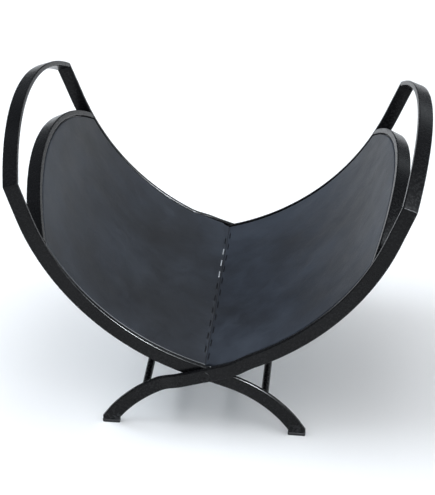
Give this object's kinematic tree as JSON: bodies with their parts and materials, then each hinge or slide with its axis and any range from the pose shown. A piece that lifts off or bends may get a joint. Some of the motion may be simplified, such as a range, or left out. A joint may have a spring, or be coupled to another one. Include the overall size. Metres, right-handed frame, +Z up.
{
  "type": "firewood log rack",
  "caption": "Folding log cradle: two S-curved flat-bar steel frames crossing on a pivot shaft, with a leather-lined half-moon trough and bowed carrying grips.",
  "frame": {"origin": "on the floor plane, in the middle of the rack, straight under the pivot shaft", "axes": "+Z up, +X towards the right grip, the pivot shaft along Y with the front at -Y"},
  "size_m": [0.549, 0.3956, 0.4016],
  "materials": {
    "black_steel": "satin black powder coat",
    "tray_steel": "satin black powder coat",
    "shaft_steel": "black oxide",
    "screw_steel": "black oxide",
    "slate_leather": "smooth slate grey, low sheen",
    "pad_rubber": "matt",
    "washer_nylon": "matt"
  },
  "bodies": {
    "left_frame": {"left_front_side_bar": "black_steel", "left_rear_side_bar": "black_steel", "left_grip_bow": "black_steel", "left_end_hoop": "black_steel", "left_foot_tie_rod": "black_steel", "left_front_foot_pad": "pad_rubber", "left_rear_foot_pad": "pad_rubber", "left_lining_tray": "tray_steel", "left_leather_panel": "slate_leather", "pivot_shaft": "shaft_steel", "front_pivot_screw": "screw_steel", "rear_pivot_screw": "screw_steel", "front_shaft_washer": "washer_nylon", "rear_shaft_washer": "washer_nylon", "leather_fold_strip": "slate_leather"},
    "right_frame": {"right_front_side_bar": "black_steel", "right_rear_side_bar": "black_steel", "right_grip_bow": "black_steel", "right_end_hoop": "black_steel", "right_foot_tie_rod": "black_steel", "right_front_foot_pad": "pad_rubber", "right_rear_foot_pad": "pad_rubber", "right_lining_tray": "tray_steel", "right_leather_panel": "slate_leather"}
  },
  "joints": [
    {"name": "fold", "type": "hinge", "parent": "left_frame", "child": "right_frame", "pos_m": [0, 0, 0.0885], "axis": [0, -1, 0], "range_deg": [0, 72]}
  ]
}
